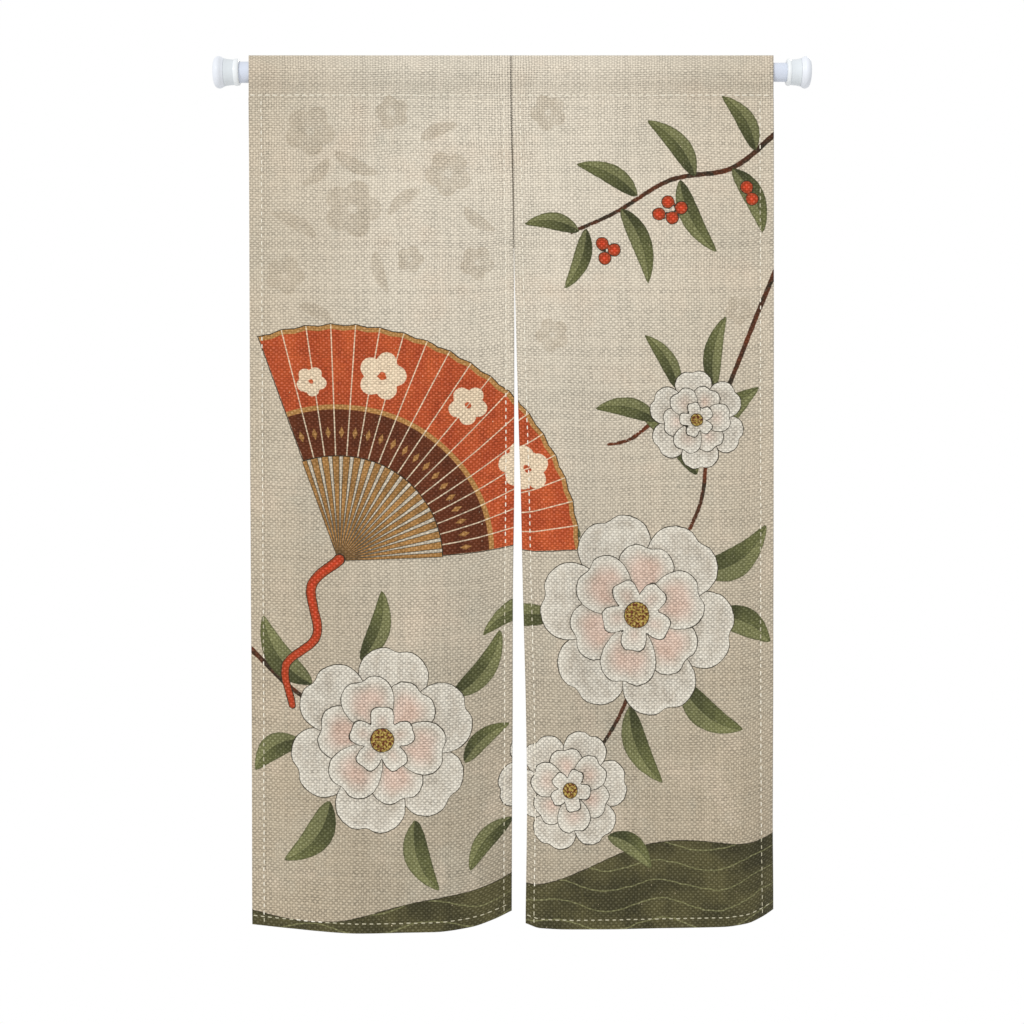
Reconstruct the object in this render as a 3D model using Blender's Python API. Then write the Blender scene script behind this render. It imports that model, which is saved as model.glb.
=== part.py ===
"""A noren: a split curtain of two cloth panels, sewn together at the top, on a tension rod.

Frame: metres. The rod's axis is the X axis, the origin is the middle of the left foot's wall
face, +Z is up and -Y is the printed front. Drops are measured down from the rod's axis.
"""

from math import asin, cos, exp, pi, sin, tan

import bmesh
import bpy
from mathutils import Vector


# Clearance between pieces that touch
GAP = 0.0003

# Tension rod
ROD_LENGTH = 0.976
ROUND_SIDES = 48
OUTER_TUBE_RADIUS = 0.0170
INNER_TUBE_RADIUS = 0.0153
TUBE_WALL = 0.0014
OUTER_TUBE_END = 0.700
TUBE_OVERLAP = 0.180

# End fittings: a soft foot with a spigot in the tube, and a sleeve with a bead over the tube
FITTINGS = {
    "left": {"foot": 0.0170, "sleeve": 0.0160, "bead": 0.0088, "tube": OUTER_TUBE_RADIUS},
    "right": {"foot": 0.0160, "sleeve": 0.0165, "bead": 0.0065, "tube": INNER_TUBE_RADIUS},
}
SPIGOT_LENGTH = 0.025
BEAD_RADIUS = 0.0217
BEAD_STEPS = 6
# Turned outlines: share of the piece's length from its wall end, and radius
FOOT_OUTLINE = (
    (0.00, 0.0185),
    (0.10, 0.0225),
    (0.32, 0.0252),
    (0.55, 0.0264),
    (0.76, 0.0258),
    (0.93, 0.0234),
    (1.00, 0.0216),
)
SLEEVE_OUTLINE = (
    (0.00, 0.0217),
    (0.04, 0.0222),
    (0.45, 0.0210),
    (0.98, 0.0202),
)

# Cloth
CLOTH = 0.0015
HEM_WIDTH = 0.0155
HEM_EXTRA = 0.0012
STEP_WIDTH = 0.0005

# Rod pocket: a pressed crease on top, the sheet round the tube, the two layers sewn below it
CREASE_HEIGHT = 0.0275
POCKET_FOOT_DROP = 0.0368
BACK_LAYER_DROP = 0.0425
POCKET_ARC_STEPS = 6
POCKET_HALF_STEP = pi / 24

# Vertical edges. The slit's width is the gap to the left edge of the right panel
EDGE_COLUMNS = ("drop", "left_side", "seam", "slit", "right_side")
EDGES = (
    (0.038, 0.0562, 0.4863, 0.0003, 0.9163),
    (0.127, 0.0569, 0.4880, 0.0003, 0.9167),
    (0.275, 0.0576, 0.4906, 0.0003, 0.9167),
    (0.422, 0.0582, 0.4914, 0.0030, 0.9166),
    (0.668, 0.0592, 0.4914, 0.0100, 0.9165),
    (0.864, 0.0602, 0.4893, 0.0166, 0.9165),
    (1.061, 0.0611, 0.4890, 0.0218, 0.9168),
    (1.208, 0.0612, 0.4882, 0.0240, 0.9180),
    (1.380, 0.0602, 0.4878, 0.0222, 0.9225),
)

# Hem line of each panel, from its left edge to its right edge. Depth is positive to the back
HEM_COLUMNS = ("share", "drop", "depth")
LEFT_HEM = (
    (0.00, 1.3989, 0.015),
    (0.14, 1.4030, 0.005),
    (0.42, 1.4079, -0.010),
    (0.70, 1.4069, -0.006),
    (0.84, 1.4015, 0.006),
    (0.93, 1.3924, 0.022),
    (1.00, 1.3828, 0.042),
)
RIGHT_HEM = (
    (0.00, 1.3961, 0.010),
    (0.06, 1.4028, 0.003),
    (0.15, 1.4029, -0.004),
    (0.50, 1.4003, -0.008),
    (0.78, 1.3992, -0.002),
    (0.88, 1.3963, 0.009),
    (0.95, 1.3882, 0.024),
    (1.00, 1.3804, 0.042),
)
CURL_POWER = 6

# Soft folds of the hanging cloth, across both panels
# Columns: place at the top, place at the hem, half width, depth
FOLDS = (
    (0.125, 0.110, 0.040, -0.0060),
    (0.235, 0.262, 0.055, 0.0065),
    (0.372, 0.356, 0.045, -0.0045),
    (0.455, 0.462, 0.030, 0.0025),
    (0.560, 0.590, 0.050, -0.0060),
    (0.690, 0.672, 0.060, 0.0070),
    (0.836, 0.858, 0.042, -0.0065),
)
FOLD_START = 0.02
FOLD_FULL = 0.45
FOLD_FADE_POWER = 8

# Mesh steps: shares of a panel's width, and heights above the hem
STATION_SHARES = (0.11, 0.20, 0.30, 0.40, 0.50, 0.60, 0.70, 0.78, 0.84, 0.89, 0.93)
ROW_HEIGHTS = (0.035, 0.060, 0.090, 0.125, 0.165, 0.215, 0.275, 0.345, 0.425, 0.515, 0.610,
               0.710, 0.810, 0.910, 1.010, 1.100, 1.180, 1.250, 1.310)

CLOTH_COLOUR = (0.66, 0.59, 0.48, 1.0)
TUBE_COLOUR = (0.74, 0.78, 0.84, 1.0)
SLEEVE_COLOUR = (0.80, 0.84, 0.88, 1.0)
FOOT_COLOUR = (0.82, 0.86, 0.90, 1.0)


def clear_scene():
    for leftover in list(bpy.data.objects):
        bpy.data.objects.remove(leftover, do_unlink=True)


def plain_material(name, colour, roughness, metallic=0.0):
    material = bpy.data.materials.new(name)
    material.use_nodes = True
    shader = material.node_tree.nodes["Principled BSDF"]
    shader.inputs["Base Color"].default_value = colour
    shader.inputs["Roughness"].default_value = roughness
    shader.inputs["Metallic"].default_value = metallic
    return material


def add_piece(name, mesh_data, material, parent, location=(0.0, 0.0, 0.0)):
    """Turn a finished bmesh into an object that hangs under the parent."""
    bmesh.ops.recalc_face_normals(mesh_data, faces=mesh_data.faces)
    mesh = bpy.data.meshes.new(name)
    mesh_data.to_mesh(mesh)
    mesh_data.free()
    mesh.materials.append(material)
    mesh.shade_smooth()
    mesh.set_sharp_from_angle(angle=pi / 6)
    piece = bpy.data.objects.new(name, mesh)
    piece.location = location
    piece.parent = parent
    bpy.context.collection.objects.link(piece)
    return piece


def column(table, columns, name):
    place = columns.index(name)
    return [row[place] for row in table]


def smooth_value(xs, ys, x):
    """Monotone cubic through the table's points, level beyond its ends."""
    if x <= xs[0]:
        return ys[0]
    if x >= xs[-1]:
        return ys[-1]
    slopes = [(ys[i + 1] - ys[i]) / (xs[i + 1] - xs[i]) for i in range(len(xs) - 1)]
    tangents = [slopes[0]]
    for before, after in zip(slopes, slopes[1:]):
        turning = before * after <= 0.0
        tangents.append(0.0 if turning else 2.0 * before * after / (before + after))
    tangents.append(slopes[-1])
    i = max(k for k in range(len(xs) - 1) if xs[k] <= x)
    width = xs[i + 1] - xs[i]
    t = (x - xs[i]) / width
    rise = 3 * t ** 2 - 2 * t ** 3
    return (ys[i] * (1 - rise) + ys[i + 1] * rise
            + width * tangents[i] * (t - 2 * t ** 2 + t ** 3)
            + width * tangents[i + 1] * (t ** 3 - t ** 2))


def smooth_step(low, high, x):
    t = min(max((x - low) / (high - low), 0.0), 1.0)
    return t * t * (3 - 2 * t)


def edge_x(name, drop):
    return smooth_value(column(EDGES, EDGE_COLUMNS, "drop"), column(EDGES, EDGE_COLUMNS, name), drop)


def fold_depth(x, share_down):
    """Depth of the soft folds at a place on either panel."""
    total = 0.0
    for x_top, x_low, half_width, depth in FOLDS:
        centre = x_top + (x_low - x_top) * share_down
        total += depth * exp(-((x - centre) / half_width) ** 2)
    grown = smooth_step(FOLD_START, FOLD_FULL, share_down)
    return total * grown * (1.0 - share_down ** FOLD_FADE_POWER)


class Panel:
    """The hanging sheet of one panel, from the pocket's lower edge down to its hem."""

    NORMAL_REACH = 0.002

    def __init__(self, side):
        self.is_left = side == "left"
        self.hem = LEFT_HEM if self.is_left else RIGHT_HEM

    def hem_value(self, name, share):
        shares = column(self.hem, HEM_COLUMNS, "share")
        return smooth_value(shares, column(self.hem, HEM_COLUMNS, name), share)

    def edges(self, drop):
        seam = edge_x("seam", drop)
        if self.is_left:
            return edge_x("left_side", drop), seam
        return seam + edge_x("slit", drop), edge_x("right_side", drop)

    def width(self):
        low, high = self.edges(BACK_LAYER_DROP)
        return high - low

    def front(self, share, height):
        """Point on the sheet's front face, a share across and a height above the hem."""
        hem_drop = self.hem_value("drop", share)
        drop = hem_drop - height
        share_down = (drop - BACK_LAYER_DROP) / (hem_drop - BACK_LAYER_DROP)
        share_down = min(max(share_down, 0.0), 1.0)
        low, high = self.edges(drop)
        x = low + (high - low) * share
        curl = self.hem_value("depth", share) * share_down ** CURL_POWER
        return Vector((x, curl + fold_depth(x, share_down) - CLOTH, -drop))

    def normal(self, share, height):
        """Unit vector from the front face to the back face."""
        reach = self.NORMAL_REACH
        left, right = max(share - reach, 0.0), min(share + reach, 1.0)
        across = self.front(right, height) - self.front(left, height)
        up = self.front(share, height + reach) - self.front(share, height)
        return up.cross(across).normalized()

    def pair(self, share, height, thickness):
        front = self.front(share, height)
        return front, front + self.normal(share, height) * thickness


def pocket_ring():
    """Outer and inner points of the pocket's section as (y, z), front side first, up and over."""
    inner_radius = (OUTER_TUBE_RADIUS + GAP) / cos(POCKET_HALF_STEP)
    outer_radius = inner_radius + CLOTH
    crease_angle = asin(outer_radius / CREASE_HEIGHT)
    foot_angle = asin(inner_radius / POCKET_FOOT_DROP)
    first = pi / 2 + foot_angle
    last = pi / 2 - crease_angle
    turns = [first + (last - first) * k / POCKET_ARC_STEPS for k in range(POCKET_ARC_STEPS + 1)]
    foot_rise = CLOTH / tan(foot_angle)
    outer_foot = -outer_radius / sin(foot_angle) + foot_rise

    outer = [(-CLOTH, outer_foot)]
    outer += [(-outer_radius * sin(turn), outer_radius * cos(turn)) for turn in turns]
    inner = [(0.0, -POCKET_FOOT_DROP)]
    inner += [(-inner_radius * sin(turn), inner_radius * cos(turn)) for turn in turns]
    outer_back = [(-y, z) for y, z in reversed(outer)]
    inner_back = [(-y, z) for y, z in reversed(inner[1:])]
    outer_top = [(0.0, CREASE_HEIGHT)]
    inner_top = [(0.0, inner_radius / sin(crease_angle))]
    return outer + outer_top + outer_back, inner + inner_top + inner_back


def panel_stations(panel):
    """Shares across the panel, with a narrow step at the inner edge of each side hem."""
    hem = HEM_WIDTH / panel.width()
    step = (HEM_WIDTH + STEP_WIDTH) / panel.width()
    return [0.0, hem, step, *STATION_SHARES, 1.0 - step, 1.0 - hem, 1.0]


def panel_section(panel, share, in_side_hem, outer_ring, inner_ring):
    """One section of a panel: front line, pocket's outside, back layer's end, back line, bore."""
    low, high = panel.edges(BACK_LAYER_DROP)
    x = low + (high - low) * share
    hem_drop = panel.hem_value("drop", share)
    heights = [0.0, HEM_WIDTH, HEM_WIDTH + STEP_WIDTH, *ROW_HEIGHTS, hem_drop - BACK_LAYER_DROP]
    front, back = [], []
    for height in heights:
        in_bottom_hem = height <= HEM_WIDTH
        thickness = CLOTH + (HEM_EXTRA if in_side_hem or in_bottom_hem else 0.0)
        near, far = panel.pair(share, height, thickness)
        front.append(near)
        back.append(far)
    front[-1] = Vector((x, -CLOTH, -BACK_LAYER_DROP))
    back[-1] = Vector((x, 0.0, -BACK_LAYER_DROP))
    back_layer_end = [Vector((x, CLOTH, -BACK_LAYER_DROP))]
    outer = [Vector((x, y, z)) for y, z in outer_ring]
    inner = [Vector((x, y, z)) for y, z in inner_ring]
    return front, outer, back_layer_end, back, inner


def join_stations(mesh_data, loops):
    """Faces between each closed loop and the next."""
    for here, there in zip(loops, loops[1:]):
        for k in range(len(here)):
            after = (k + 1) % len(here)
            mesh_data.faces.new((here[k], here[after], there[after], there[k]))


def close_panel_end(mesh_data, front, outer, back_layer_end, back, inner):
    """Faces over the cut end of a panel, round the open pocket."""
    for k in range(len(front) - 1):
        mesh_data.faces.new((front[k], front[k + 1], back[k + 1], back[k]))
    mesh_data.faces.new((front[-1], outer[0], outer[-1], back_layer_end[0], back[-1]))
    mesh_data.faces.new((outer[0], inner[0], outer[-1]))
    closed_inner = inner + inner[:1]
    for k in range(len(outer) - 1):
        mesh_data.faces.new((outer[k], outer[k + 1], closed_inner[k + 1], closed_inner[k]))


def add_panel(side, material, parent):
    """One panel as a single closed body, swept from station to station."""
    panel = Panel(side)
    outer_ring, inner_ring = pocket_ring()
    stations = panel_stations(panel)
    mesh_data = bmesh.new()
    sections = []
    for number, share in enumerate(stations):
        in_side_hem = number < 2 or number >= len(stations) - 2
        lines = panel_section(panel, share, in_side_hem, outer_ring, inner_ring)
        sections.append([[mesh_data.verts.new(point) for point in line] for line in lines])
    outlines = [front + outer + back_layer_end + back[::-1]
                for front, outer, back_layer_end, back, inner in sections]
    join_stations(mesh_data, outlines)
    join_stations(mesh_data, [section[-1] for section in sections])
    close_panel_end(mesh_data, *sections[0])
    close_panel_end(mesh_data, *sections[-1])
    bmesh.ops.triangulate(mesh_data, faces=mesh_data.faces)
    return add_piece(side + "_panel", mesh_data, material, parent)


def spun(profile, closed):
    """Body of revolution about X from (x, radius) points, closed in a ring or on the axis."""
    mesh_data = bmesh.new()
    verts = [mesh_data.verts.new((x, 0.0, radius)) for x, radius in profile]
    pairs = list(zip(verts, verts[1:]))
    if closed:
        pairs.append((verts[-1], verts[0]))
    edges = [mesh_data.edges.new(pair) for pair in pairs]
    bmesh.ops.spin(mesh_data, geom=verts + edges, cent=(0, 0, 0), axis=(1, 0, 0),
                   angle=2 * pi, steps=ROUND_SIDES, use_merge=True)
    bmesh.ops.remove_doubles(mesh_data, verts=mesh_data.verts, dist=1e-7)
    return mesh_data


def add_tube(name, start, end, radius, material, parent):
    length = end - start
    bore = radius - TUBE_WALL
    profile = ((0.0, bore), (0.0, radius), (length, radius), (length, bore))
    return add_piece(name, spun(profile, closed=True), material, parent, (start, 0.0, 0.0))


def rounded_bead(start, end, base):
    """Half-round bead as (x, radius) points between two places on a sleeve."""
    middle, reach, rise = (start + end) / 2, (end - start) / 2, BEAD_RADIUS - base
    turns = [pi * k / BEAD_STEPS for k in range(BEAD_STEPS + 1)]
    return [(middle - reach * cos(turn), base + rise * sin(turn) ** 0.5) for turn in turns]


def add_fittings(side, foot_material, sleeve_material, parent):
    """Foot and sleeve of one end, modelled inwards from the wall face."""
    sizes = FITTINGS[side]
    foot, sleeve, tube = sizes["foot"], sizes["sleeve"], sizes["tube"]
    spigot = tube - TUBE_WALL - GAP
    foot_profile = (
        (0.0, 0.0),
        *((share * foot, radius) for share, radius in FOOT_OUTLINE),
        (foot, spigot),
        (foot + SPIGOT_LENGTH, spigot),
        (foot + SPIGOT_LENGTH, 0.0),
    )
    start = foot + GAP
    bead_start = start + sleeve
    bead_end = bead_start + sizes["bead"]
    bore = tube + GAP
    sleeve_profile = (
        (start, bore),
        *((start + share * sleeve, radius) for share, radius in SLEEVE_OUTLINE),
        *rounded_bead(bead_start, bead_end, SLEEVE_OUTLINE[-1][1]),
        (bead_end, bore),
    )
    turned = side == "right"
    place = (ROD_LENGTH if turned else 0.0, 0.0, 0.0)
    for name, profile, closed, material in (
            ("foot", foot_profile, False, foot_material),
            ("sleeve", sleeve_profile, True, sleeve_material)):
        piece = add_piece(f"{side}_{name}", spun(profile, closed), material, parent, place)
        if turned:
            piece.rotation_euler = (0.0, 0.0, pi)


def build():
    clear_scene()
    curtain = bpy.data.objects.new("noren_curtain", None)
    bpy.context.collection.objects.link(curtain)

    cloth = plain_material("cloth", CLOTH_COLOUR, 0.9)
    coated_tube = plain_material("coated_tube", TUBE_COLOUR, 0.35)
    sleeve = plain_material("sleeve", SLEEVE_COLOUR, 0.4)
    foot = plain_material("foot", FOOT_COLOUR, 0.45)

    tube_start = FITTINGS["left"]["foot"] + GAP
    tube_end = ROD_LENGTH - FITTINGS["right"]["foot"] - GAP
    add_tube("rod_outer_tube", tube_start, OUTER_TUBE_END, OUTER_TUBE_RADIUS, coated_tube, curtain)
    add_tube("rod_inner_tube", OUTER_TUBE_END - TUBE_OVERLAP, tube_end, INNER_TUBE_RADIUS,
             coated_tube, curtain)
    for side in ("left", "right"):
        add_fittings(side, foot, sleeve, curtain)
        add_panel(side, cloth, curtain)


build()
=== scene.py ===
"""Looks of the noren curtain: printed cloth panels, their stitches and the tension rod.

Metres, in the frame of the solids: +X along the rod from the left foot's wall face, +Z up, the
printed front towards -Y, the rod's axis on X. Drops are measured down from the rod's axis.
Print places are measured from the centre seam (across, + right) and from the crease (down).
"""

from functools import partialmethod
from math import asin, ceil, cos, pi, radians, sin, sqrt

import bpy
import numpy as np
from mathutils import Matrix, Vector


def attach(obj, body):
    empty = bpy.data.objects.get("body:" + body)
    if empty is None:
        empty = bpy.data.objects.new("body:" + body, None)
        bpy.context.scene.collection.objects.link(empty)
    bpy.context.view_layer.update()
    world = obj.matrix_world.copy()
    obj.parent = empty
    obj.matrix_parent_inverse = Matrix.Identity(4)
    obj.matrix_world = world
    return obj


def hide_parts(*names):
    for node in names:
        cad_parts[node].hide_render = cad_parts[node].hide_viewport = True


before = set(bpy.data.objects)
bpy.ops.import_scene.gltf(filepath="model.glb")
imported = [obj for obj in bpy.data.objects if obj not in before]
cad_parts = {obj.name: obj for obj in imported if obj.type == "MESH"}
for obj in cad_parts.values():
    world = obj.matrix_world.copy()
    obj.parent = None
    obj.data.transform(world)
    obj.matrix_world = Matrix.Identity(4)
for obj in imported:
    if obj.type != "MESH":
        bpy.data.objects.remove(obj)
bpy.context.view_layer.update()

# Rod
ROD_LENGTH = 0.976
TUBE_RADIUS = {"outer": 0.0170, "inner": 0.0153}
TUBE_WALL = 0.0014
TUBE_LIP = 0.0004
GAP = 0.0003
OUTER_TUBE_END = 0.700
INNER_TUBE_START = 0.520
ROUND_SIDES = 96
SHARP_ANGLE = 38.0

# Cloth
CLOTH = 0.0015
HEM_EXTRA = 0.0012
SIDE_HEMS = {"left": (0.0218, 0.0147), "right": (0.0158, 0.0238)}
BOTTOM_HEM = 0.0167
STITCH_INSET = 0.0012
CREASE_HEIGHT = 0.0275
BACK_LAYER_DROP = 0.0425
STITCH_DROP = 0.0378

# The pocket's slack: its crest, and how it leaves the rod and comes down to its stitches
CREST_HEIGHT = 0.0281
LEAVE_ANGLE = 2.0
ARRIVE_ANGLE = 20.0
LEAVE_REACH = 0.015
ARRIVE_REACH = 0.010
MOUTH_DRAW = 0.0027
POCKET_HALF_STEP = pi / 24
POCKET_POINTS = 24
POCKET_SAMPLES = 400
POCKET_SMOOTHINGS = 12

# Sheet
PANEL_WIDTH = 0.4300
HEM_DROP = 1.4035
GRID = 0.0042
EDGE_RADIUS = 0.0011
EDGE_SINK_SHARE = 0.6
HEM_STEP = 0.0004

# Vertical edges. The slit's width is the gap to the left edge of the right panel
EDGE_COLUMNS = ("drop", "left_side", "seam", "slit", "right_side")
EDGES = (
    (0.038, 0.0562, 0.4863, 0.0003, 0.9163),
    (0.127, 0.0569, 0.4880, 0.0003, 0.9167),
    (0.275, 0.0576, 0.4906, 0.0003, 0.9167),
    (0.422, 0.0582, 0.4914, 0.0030, 0.9166),
    (0.668, 0.0592, 0.4914, 0.0100, 0.9165),
    (0.864, 0.0602, 0.4893, 0.0166, 0.9165),
    (1.061, 0.0611, 0.4890, 0.0218, 0.9168),
    (1.208, 0.0612, 0.4882, 0.0240, 0.9180),
    (1.380, 0.0602, 0.4878, 0.0222, 0.9225),
)

# Hem line of each panel, from its left edge to its right edge. Depth is positive to the back
HEM_COLUMNS = ("share", "drop", "depth")
HEMS = {
    "left": (
        (0.00, 1.3989, 0.015),
        (0.14, 1.4030, 0.005),
        (0.42, 1.4079, -0.010),
        (0.70, 1.4069, -0.006),
        (0.84, 1.4015, 0.006),
        (0.93, 1.3924, 0.022),
        (1.00, 1.3828, 0.042),
    ),
    "right": (
        (0.00, 1.3961, 0.010),
        (0.06, 1.4028, 0.003),
        (0.15, 1.4029, -0.004),
        (0.50, 1.4003, -0.008),
        (0.78, 1.3992, -0.002),
        (0.88, 1.3963, 0.009),
        (0.95, 1.3882, 0.024),
        (1.00, 1.3804, 0.042),
    ),
}
CURL_POWER = 6

# Columns: place at the top, place at the hem, half width, depth
FOLDS = (
    (0.125, 0.110, 0.040, -0.0060),
    (0.235, 0.262, 0.055, 0.0065),
    (0.372, 0.356, 0.045, -0.0045),
    (0.455, 0.462, 0.030, 0.0025),
    (0.560, 0.590, 0.050, -0.0060),
    (0.690, 0.672, 0.060, 0.0070),
    (0.836, 0.858, 0.042, -0.0065),
)
FOLD_START = 0.02
FOLD_FULL = 0.45
FOLD_FADE_POWER = 8
WRINKLE_SLOW = 0.0009
WRINKLE_FINE = 0.0005

# Stitches
STITCH_PITCH = 0.0121
STITCH_LENGTH = 0.0082
THREAD_RADIUS = 0.00100
THREAD_TWIST = 900.0
ROW_STITCH_LENGTH = 0.0100
FLATTENED = 0.6
STITCH_END_SINK = 0.0010
STITCH_END_WIDTH = 0.25
STITCH_LIFT = 0.0003
STITCH_STRETCH = (0.90, 1.06)
STITCH_SHIFT = 0.0003
STITCH_RINGS = 7
STITCH_SIDES = 6

# The centre seam joins the two panels down to the slit, with fine threads side by side in its groove. The
# threads' dark colour paints the shade deep in the groove
SEAM_END_DROP = 0.291
SEAM_PITCH = 0.0011
SEAM_REACH = 0.0013
SEAM_DEPTH = 0.0010
SEAM_THREAD_RADIUS = 0.00058

# Camera: the photograph's frame, whose pixel is this wide at the cloth
PHOTO_SIZE = 1024
PIXEL = 0.001638
CAMERA_DISTANCE = 2.8
CAMERA_X = 0.4878
CAMERA_Z = -0.7202
FLOOR_DROP = 2.0
FLOOR_RADIUS = 1.4
SURROUND_LIGHT = 0.72


def srgb(red, green, blue):
    """Scene-linear colour from the 0 to 255 values of a picture."""
    def linear(value):
        share = value / 255.0
        return share / 12.92 if share <= 0.04045 else ((share + 0.055) / 1.055) ** 2.4
    return (linear(red), linear(green), linear(blue), 1.0)


def smooth_step(low, high, x):
    t = np.clip((x - low) / (high - low), 0.0, 1.0)
    return t * t * (3.0 - 2.0 * t)


def curve(xs, ys, x):
    """Monotone cubic through a table's points, level beyond its ends."""
    xs, ys = np.asarray(xs, float), np.asarray(ys, float)
    x = np.clip(np.asarray(x, float), xs[0], xs[-1])
    slopes = np.diff(ys) / np.diff(xs)
    before, after = slopes[:-1], slopes[1:]
    both = before + after
    inner = np.where(before * after <= 0.0, 0.0, 2.0 * before * after / np.where(both == 0, 1, both))
    tangents = np.concatenate([slopes[:1], inner, slopes[-1:]])
    i = np.clip(np.searchsorted(xs, x, side="right") - 1, 0, len(xs) - 2)
    width = xs[i + 1] - xs[i]
    t = (x - xs[i]) / width
    rise = 3 * t ** 2 - 2 * t ** 3
    return (ys[i] * (1 - rise) + ys[i + 1] * rise
            + width * tangents[i] * (t - 2 * t ** 2 + t ** 3)
            + width * tangents[i + 1] * (t ** 3 - t ** 2))


def add_object(name, data):
    """A new object in the scene, made of a mesh, camera or light."""
    added = bpy.data.objects.new(name, data)
    bpy.context.collection.objects.link(added)
    return added


def look_up(table, columns, name, place):
    """A table's column at a place of its first column, on a smooth curve through its rows."""
    rows = np.array(table)
    return curve(rows[:, 0], rows[:, columns.index(name)], place)


def edge_x(name, drop):
    return look_up(EDGES, EDGE_COLUMNS, name, drop)


def fold_depth(x, share_down):
    """Depth of the soft folds at a place on either panel."""
    total = np.zeros_like(x)
    for x_top, x_low, half_width, depth in FOLDS:
        centre = x_top + (x_low - x_top) * share_down
        total += depth * np.exp(-((x - centre) / half_width) ** 2)
    grown = smooth_step(FOLD_START, FOLD_FULL, share_down)
    return total * grown * (1.0 - share_down ** FOLD_FADE_POWER)


def pocket_profile():
    """The sheet's outer face round the rod as (path, y, z): the crease is path 0, front positive."""
    radius = (TUBE_RADIUS["outer"] + GAP) / cos(POCKET_HALF_STEP) + CLOTH
    crease_angle = asin(radius / CREASE_HEIGHT)
    leave = radians(LEAVE_ANGLE)
    turns = np.linspace(pi / 2 - crease_angle, pi / 2 + leave, POCKET_POINTS)
    start = (-radius * cos(leave), -radius * sin(leave))
    end = (-CLOTH - 0.0001, -STITCH_DROP)
    arrive = radians(ARRIVE_ANGLE)
    first = (start[0] + LEAVE_REACH * sin(leave), start[1] - LEAVE_REACH * cos(leave))
    last = (end[0] - ARRIVE_REACH * sin(arrive), end[1] + ARRIVE_REACH * cos(arrive))
    t = np.linspace(0.0, 1.0, POCKET_POINTS)[1:]
    weights = np.stack([(1 - t) ** 3, 3 * t * (1 - t) ** 2, 3 * t ** 2 * (1 - t), t ** 3])
    drop_y, drop_z = (np.array([start[k], first[k], last[k], end[k]]) @ weights for k in (0, 1))
    y = np.concatenate([[0.0], -radius * np.sin(turns), drop_y, [-CLOTH]])
    z = np.concatenate([[CREST_HEIGHT], radius * np.cos(turns), drop_z, [-BACK_LAYER_DROP]])
    path = np.concatenate([[0.0], np.cumsum(np.hypot(np.diff(y), np.diff(z)))])
    fine = np.linspace(0.0, path[-1], POCKET_SAMPLES)
    y, z = np.interp(fine, path, y), np.interp(fine, path, z)
    places = np.array([np.concatenate([-y[:0:-1], y]), np.concatenate([z[:0:-1], z])])
    for _ in range(POCKET_SMOOTHINGS):
        places[:, 1:-1] = (places[:, :-2] + 2 * places[:, 1:-1] + places[:, 2:]) / 4
    return np.concatenate([-fine[:0:-1], fine]), *places


POCKET = pocket_profile()
POCKET_PATH = POCKET[0][-1]
SHEET_DROP = HEM_DROP - BACK_LAYER_DROP
HEM_PATH = POCKET_PATH + SHEET_DROP
STITCH_PATH = POCKET_PATH - (BACK_LAYER_DROP - STITCH_DROP)
SEAM_PATH = POCKET_PATH + SEAM_END_DROP - BACK_LAYER_DROP


class Sheet:
    """The outer face of one panel, over a share of its width and a path down from the crease."""

    def __init__(self, side):
        self.side = side
        self.hem = HEMS[side]

    def hem_value(self, name, share):
        return look_up(self.hem, HEM_COLUMNS, name, share)

    def edges(self, drop):
        seam = edge_x("seam", drop)
        if self.side == "left":
            return edge_x("left_side", drop), seam
        return seam + edge_x("slit", drop), edge_x("right_side", drop)

    def face(self, share, path):
        share, path = np.broadcast_arrays(np.asarray(share, float), np.asarray(path, float))
        hem_drop = self.hem_value("drop", share)
        share_down = np.clip((path - POCKET_PATH) / SHEET_DROP, 0.0, 1.0)
        drop = BACK_LAYER_DROP + (hem_drop - BACK_LAYER_DROP) * share_down
        low, high = self.edges(drop)
        in_pocket = path <= POCKET_PATH
        pocket_y, pocket_z = (np.interp(path, POCKET[0], places) for places in POCKET[1:])
        stand_out = np.where(in_pocket, -pocket_y, 0.0)
        draw = MOUTH_DRAW * np.clip(stand_out / TUBE_RADIUS["outer"], 0.0, 1.1)
        low, high = (low + draw, high) if self.side == "left" else (low, high - draw)
        x = low + (high - low) * share
        hanging = self.hem_value("depth", share) * share_down ** CURL_POWER
        hanging = hanging + fold_depth(x, share_down) + self.wrinkles(x, drop, share_down) - CLOTH
        y = np.where(in_pocket, pocket_y, hanging)
        z = np.where(in_pocket, pocket_z, -drop)
        return np.stack([x, y, z], axis=-1)

    def wrinkles(self, x, drop, share_down):
        """Small unevenness of cloth that has been folded and hung up."""
        grown = smooth_step(0.0, 0.10, share_down)
        phase = 0.0 if self.side == "left" else 2.1
        slow = WRINKLE_SLOW * np.sin(31.0 * x + 3.1 * drop + phase) * np.sin(5.3 * drop + 1.7 * phase)
        fine = WRINKLE_FINE * np.sin(57.0 * x - 9.0 * drop + 2 * phase) * np.sin(11.0 * drop + 8.0 * x)
        return (slow + fine) * grown

    def normal(self, share, path):
        """Unit vector into the cloth, away from its outer face."""
        reach_x, reach_p = 0.002, 0.0006
        left, right = np.clip(share - reach_x, 0, 1), np.clip(share + reach_x, 0, 1)
        low = np.clip(path - reach_p, -POCKET_PATH, HEM_PATH)
        high = np.clip(path + reach_p, -POCKET_PATH, HEM_PATH)
        across = self.face(right, path) - self.face(left, path)
        down = self.face(share, high) - self.face(share, low)
        normal = np.cross(-down, across)
        return normal / np.linalg.norm(normal, axis=-1, keepdims=True)


def columns_across(side):
    """Places across a panel: close ones in both hems and even ones between them."""
    first, last = (hem_places(width) for width in SIDE_HEMS[side])
    start, end = first[-1], PANEL_WIDTH - last[-1]
    middle = np.linspace(start, end, round((end - start) / GRID) + 1)
    return np.concatenate([first[:-1], middle, [PANEL_WIDTH - p for p in last[-2::-1]]])


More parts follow.
